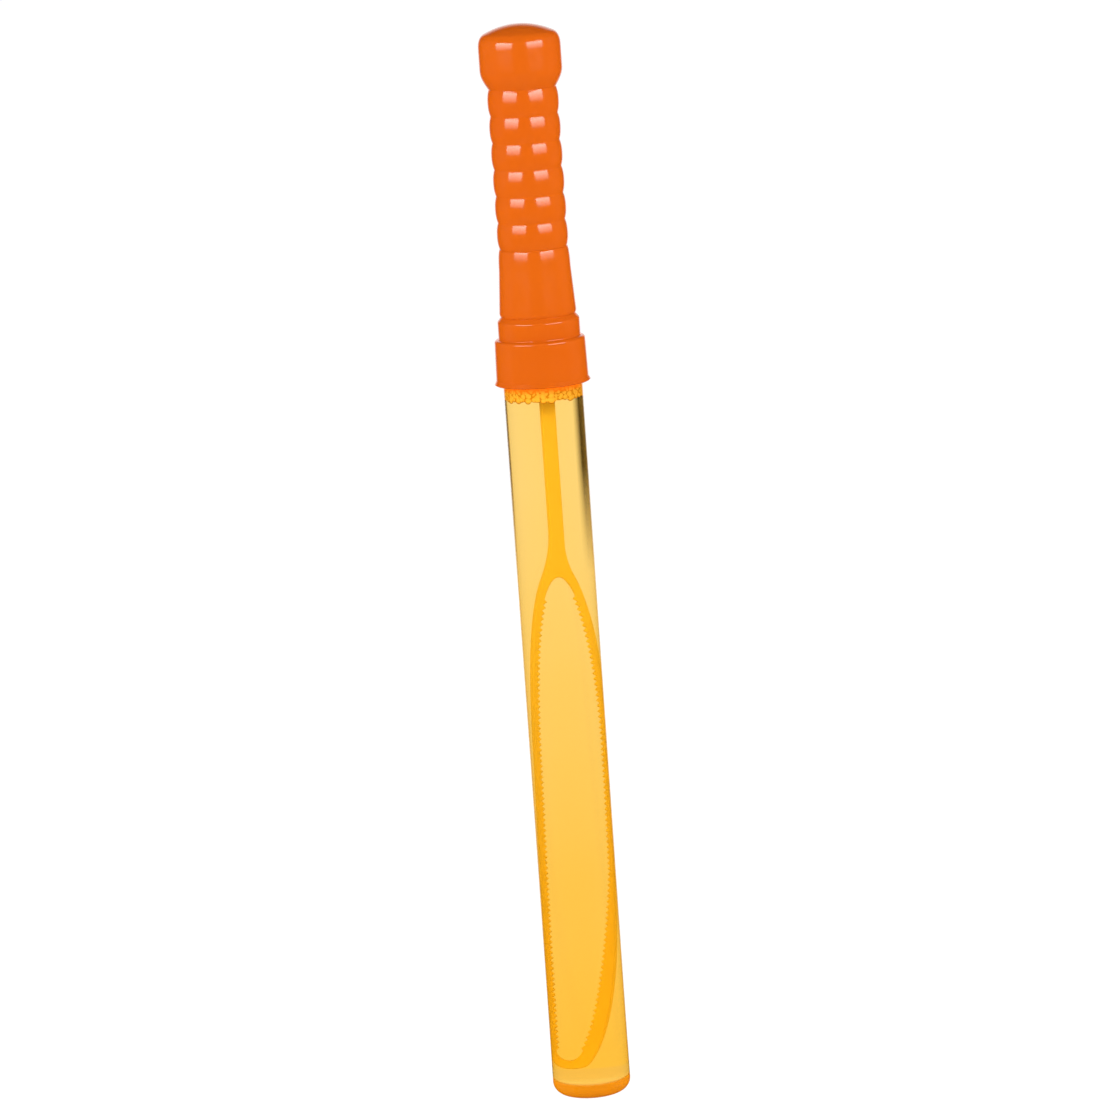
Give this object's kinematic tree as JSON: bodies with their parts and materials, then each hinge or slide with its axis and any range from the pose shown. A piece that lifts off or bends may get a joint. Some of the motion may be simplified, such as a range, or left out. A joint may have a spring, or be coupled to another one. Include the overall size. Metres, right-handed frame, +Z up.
{
  "type": "bubble wand",
  "caption": "Long clear amber bottle tube of bubble solution with an orange screw-on cap, a ringed hollow grip on top and a long yellow looped wand hanging inside.",
  "frame": {"origin": "centre of the flat base that the tube stands on", "axes": "+Z up the tube's axis towards the grip's knob; +X across the wand's loop; Y through the loop"},
  "size_m": [0.0333, 0.0332, 0.38],
  "materials": {
    "tube": "clear amber plastic, glossy",
    "handle": "glossy orange",
    "seal": "soft foam, matte",
    "wand": "semi-gloss yellow"
  },
  "bodies": {
    "bottle": {"tube": "tube"},
    "washer": {"seal_ring": "seal"},
    "handle": {"screw_cap": "handle", "grip": "handle", "wand": "wand"}
  },
  "joints": [
    {"name": "wand_pull", "type": "slide", "parent": "bottle", "child": "washer", "axis": [0, 0, 1], "range_m": [0, 0.262]},
    {"name": "cap_turn", "type": "hinge", "parent": "washer", "child": "handle", "pos_m": [0, 0, 0.2683], "axis": [0, 0, 1], "range_deg": [0, 60]}
  ]
}
